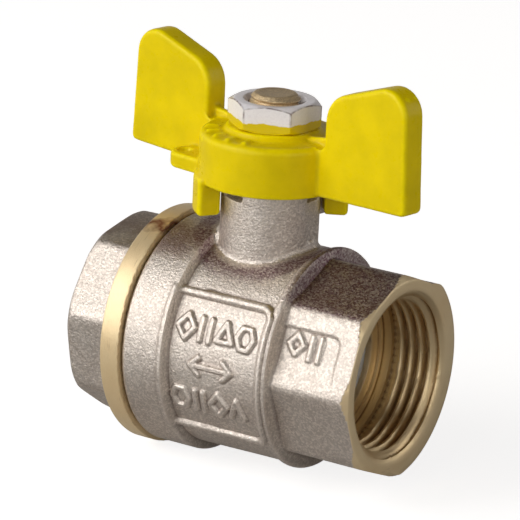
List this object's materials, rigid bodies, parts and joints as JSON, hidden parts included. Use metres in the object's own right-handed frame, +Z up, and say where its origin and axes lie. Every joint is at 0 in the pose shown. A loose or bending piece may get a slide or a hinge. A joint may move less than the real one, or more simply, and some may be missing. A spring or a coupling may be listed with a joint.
{
  "type": "ball valve",
  "caption": "Quarter-turn ball valve: two-piece plated brass body with internal pipe threads, floating ball, stem and yellow butterfly handle held by a hex nut.",
  "frame": {"origin": "on the stem axis, at the height of the lowest point of the collar ring", "axes": "+X along the flow axis towards the outlet mouth, +Z up the stem, +Y to the back, away from the marked front flat"},
  "size_m": [0.058, 0.0388, 0.0659],
  "materials": {
    "plated_brass": "nickel plated, satin, forged grain",
    "bare_brass": "machined brass",
    "ball_chrome": "polished chrome plate on brass",
    "seat_polymer": "smooth white fluoropolymer",
    "seal_rubber": "black seal rubber",
    "handle_paint": "glossy yellow paint on a die casting",
    "nut_plate": "bright plated steel"
  },
  "bodies": {
    "shell": {"valve_body": "plated_brass", "end_connector": "plated_brass", "body_oring": "seal_rubber", "outlet_seat": "seat_polymer", "inlet_seat": "seat_polymer"},
    "turning_handle": {"stem": "bare_brass", "stem_thrust_washer": "seat_polymer", "stem_oring_lower": "seal_rubber", "stem_oring_upper": "seal_rubber", "handle": "handle_paint", "handle_nut": "nut_plate"},
    "closure_ball": {"ball": "ball_chrome"}
  },
  "joints": [
    {"name": "handle_turn", "type": "hinge", "parent": "shell", "child": "turning_handle", "pos_m": [0, 0, 0.0194], "axis": [0, 0, -1], "range_deg": [0, 90]},
    {"name": "ball_turn", "type": "hinge", "parent": "shell", "child": "closure_ball", "pos_m": [0, 0, 0.0194], "axis": [0, 0, -1], "range_deg": [0, 90]}
  ],
  "couplings": [
    {"joint": "ball_turn", "follows": "handle_turn", "ratio": 1}
  ]
}
